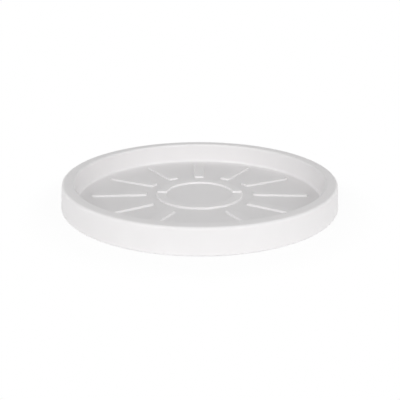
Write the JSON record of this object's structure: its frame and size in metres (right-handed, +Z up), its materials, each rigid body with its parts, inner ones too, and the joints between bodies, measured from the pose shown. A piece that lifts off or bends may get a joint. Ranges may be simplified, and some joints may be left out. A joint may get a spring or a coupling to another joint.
{
  "type": "plant saucer",
  "caption": "Round double-walled plant saucer with a thick flat rim and raised radial bars that hold a pot above spilled water.",
  "frame": {"origin": "on the ground under the middle of the dish", "axes": "+Z up out of the dish; -Y is the side turned to the viewer, where one bar place is bare; +X to the viewer's right"},
  "size_m": [0.3994, 0.3994, 0.0369],
  "materials": {
    "white_shell": "matte, finely grained rotational moulding",
    "white_plug": "satin injection moulding",
    "foot_rubber": "matte soft rubber"
  },
  "bodies": {
    "root": {"saucer_shell": "white_shell", "vent_plug": "white_plug", "foot_1": "foot_rubber", "foot_2": "foot_rubber", "foot_3": "foot_rubber", "foot_4": "foot_rubber", "foot_5": "foot_rubber", "foot_6": "foot_rubber"}
  },
  "joints": []
}
